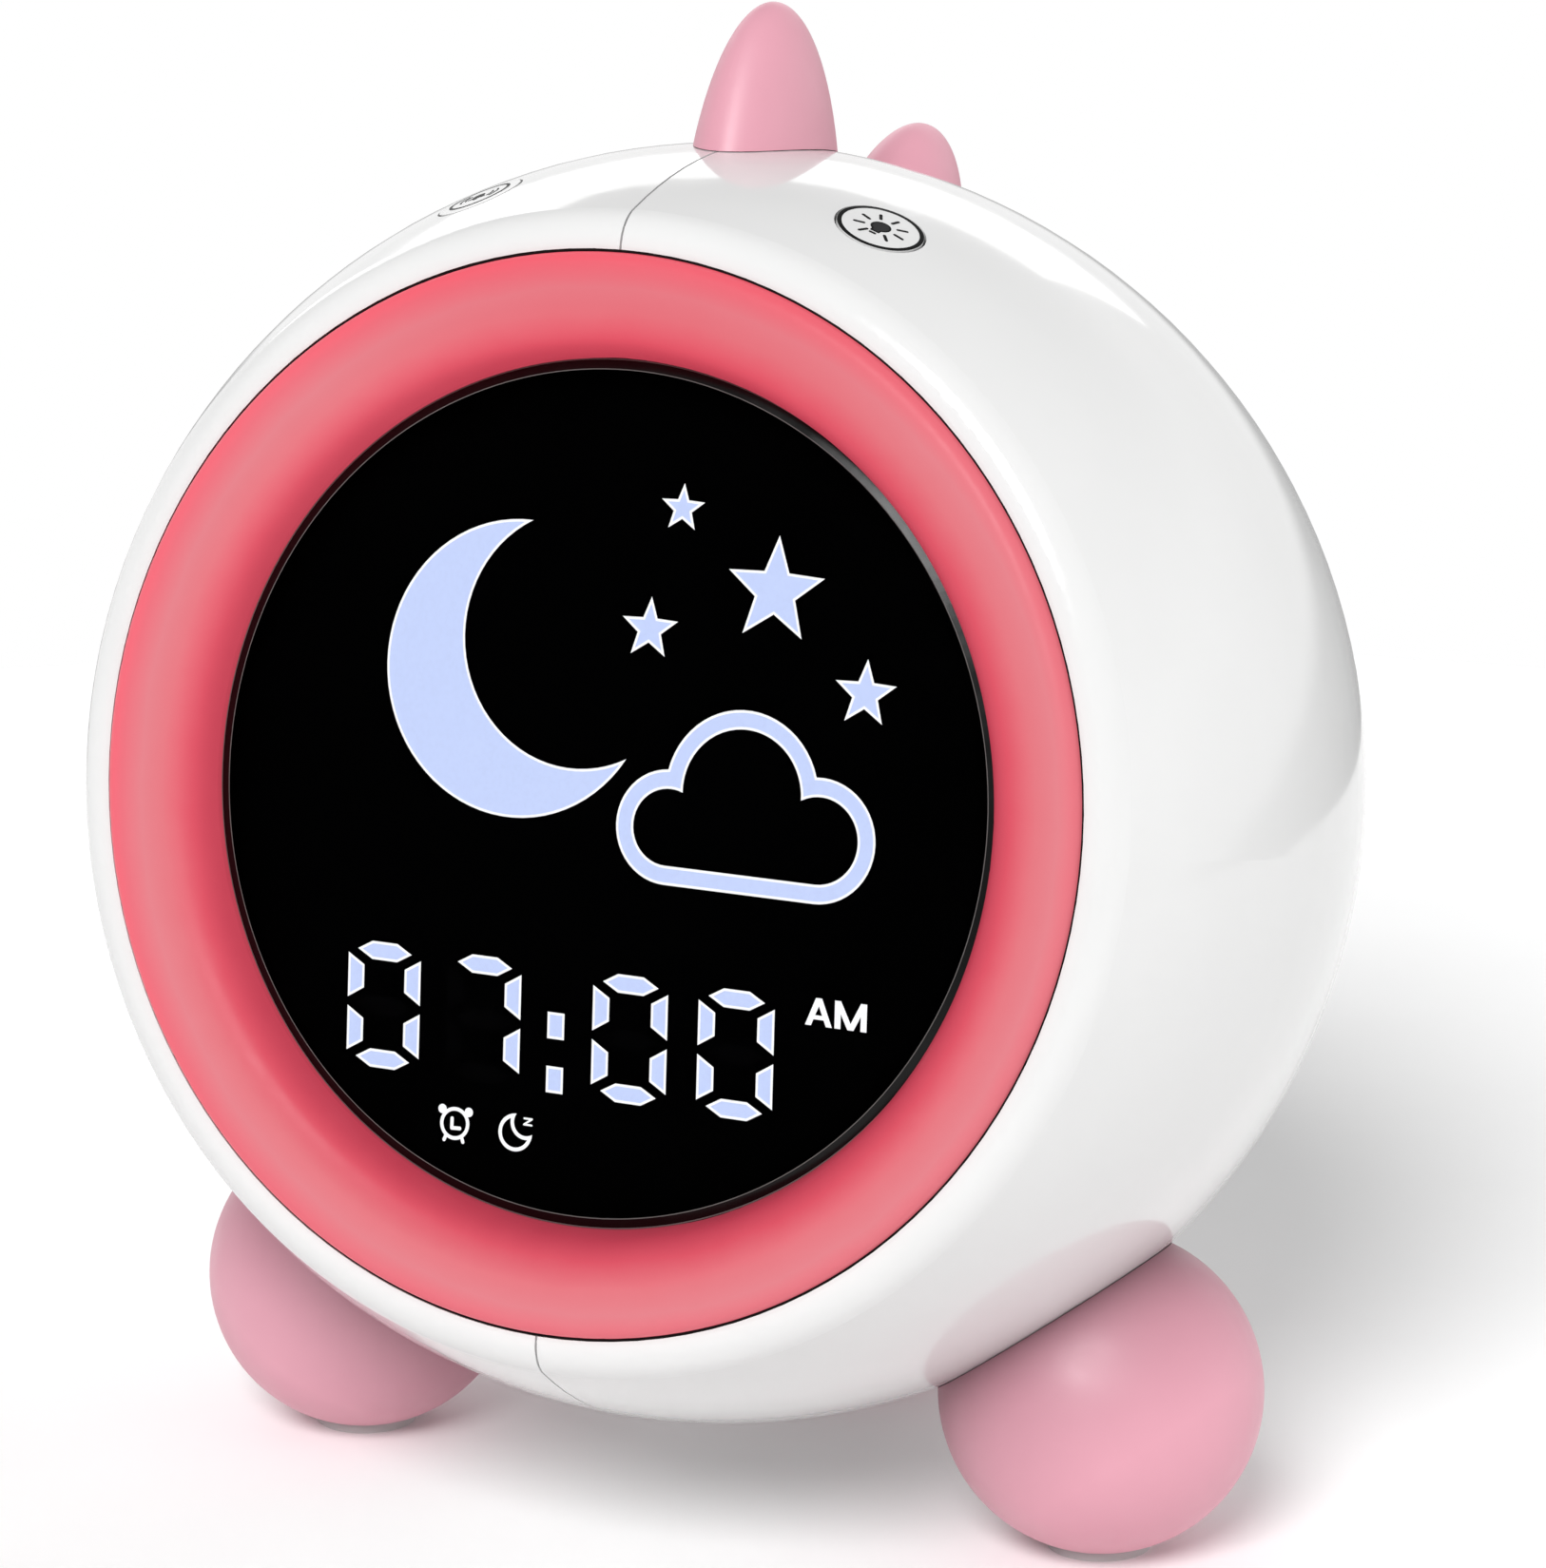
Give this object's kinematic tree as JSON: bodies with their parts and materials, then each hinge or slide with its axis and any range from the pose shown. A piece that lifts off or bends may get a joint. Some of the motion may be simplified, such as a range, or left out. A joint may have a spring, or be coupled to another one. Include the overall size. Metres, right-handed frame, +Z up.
{
  "type": "children's alarm clock",
  "caption": "Ball-shaped bedside alarm clock with a round lit display in a glowing ring, horn and spikes, ball feet, a tail support and press buttons.",
  "frame": {"origin": "on the floor, at the bottom centre of the outer box", "axes": "+Z up, +Y from the display towards the back, +X to the right of someone facing the display"},
  "size_m": [0.11, 0.0942, 0.1297],
  "materials": {
    "shell_white": "glossy moulded",
    "soft_pink": "satin moulded",
    "ring_coral": "translucent diffuser",
    "lens_black": "polished smoked window",
    "mask_black": "opaque print",
    "lit_blue": "back-lit",
    "lit_white": "back-lit",
    "unlit_grey": "unlit window",
    "frame_white": "reflective moulded",
    "board_green": "solder mask",
    "lamp_resin": "cast resin",
    "chip_black": "moulded",
    "button_white": "glossy moulded",
    "plunger_grey": "moulded",
    "button_pink": "satin moulded",
    "screw_steel": "zinc plated",
    "socket_steel": "plated",
    "pad_rubber": "matt",
    "cone_paper": "pressed film",
    "magnet_steel": "plated",
    "cell_sleeve": "shrink sleeve",
    "lead_sheath": "flexible sheath"
  },
  "bodies": {
    "case": {"am_mark": "lit_white", "battery_cell": "cell_sleeve", "battery_lead": "lead_sheath", "controller_chip": "chip_black", "display_board": "board_green", "display_driver": "chip_black", "display_lamps": "lamp_resin", "display_lens": "lens_black", "display_light_box": "frame_white", "display_mask": "mask_black", "display_ribbon": "lead_sheath", "foot_screws": "screw_steel", "front_frame": "frame_white", "horn": "soft_pink", "left_foot": "soft_pink", "left_foot_pad": "pad_rubber", "left_shell": "shell_white", "light_board": "board_green", "light_lead": "lead_sheath", "light_ring": "ring_coral", "light_switch": "chip_black", "lower_spike": "soft_pink", "main_board": "board_green", "main_board_screws": "screw_steel", "night_picture": "lit_blue", "rear_cover": "shell_white", "rear_cover_screws": "screw_steel", "rear_switches": "chip_black", "right_foot": "soft_pink", "right_foot_pad": "pad_rubber", "right_shell": "shell_white", "ring_lamps": "lamp_resin", "ring_light_boards": "board_green", "ring_screws": "screw_steel", "sound_board": "board_green", "sound_lead": "lead_sheath", "sound_switch": "chip_black", "speaker_cone": "cone_paper", "speaker_frame": "chip_black", "speaker_lead": "lead_sheath", "speaker_magnet": "magnet_steel", "status_signs": "lit_white", "switch_board_screws": "screw_steel", "tail": "soft_pink", "tail_pad": "pad_rubber", "time_digits": "lit_blue", "unlit_segments": "unlit_grey", "upper_spike": "soft_pink", "usb_socket": "socket_steel", "usb_tongue": "chip_black"},
    "light_key": {"light_button": "button_white", "light_plunger": "plunger_grey"},
    "sound_key": {"sound_button": "button_white", "sound_plunger": "plunger_grey"},
    "set_key": {"set_button": "button_pink"},
    "alarm_key": {"alarm_button": "button_pink"},
    "minus_key": {"minus_button": "button_pink"},
    "plus_key": {"plus_button": "button_pink"}
  },
  "joints": [
    {"name": "light_press", "type": "slide", "parent": "case", "child": "light_key", "axis": [-0.3387, 0.1634, -0.9266], "range_m": [0, 0.0007], "stiffness_N_per_m": 900},
    {"name": "sound_press", "type": "slide", "parent": "case", "child": "sound_key", "axis": [0.3387, 0.1634, -0.9266], "range_m": [0, 0.0007], "stiffness_N_per_m": 900},
    {"name": "set_press", "type": "slide", "parent": "case", "child": "set_key", "axis": [0, -0.9833, 0.1822], "range_m": [0, 0.0006], "stiffness_N_per_m": 900},
    {"name": "alarm_press", "type": "slide", "parent": "case", "child": "alarm_key", "axis": [0, -0.9833, 0.1822], "range_m": [0, 0.0006], "stiffness_N_per_m": 900},
    {"name": "minus_press", "type": "slide", "parent": "case", "child": "minus_key", "axis": [0, -0.9833, 0.1822], "range_m": [0, 0.0006], "stiffness_N_per_m": 900},
    {"name": "plus_press", "type": "slide", "parent": "case", "child": "plus_key", "axis": [0, -0.9833, 0.1822], "range_m": [0, 0.0006], "stiffness_N_per_m": 900}
  ]
}
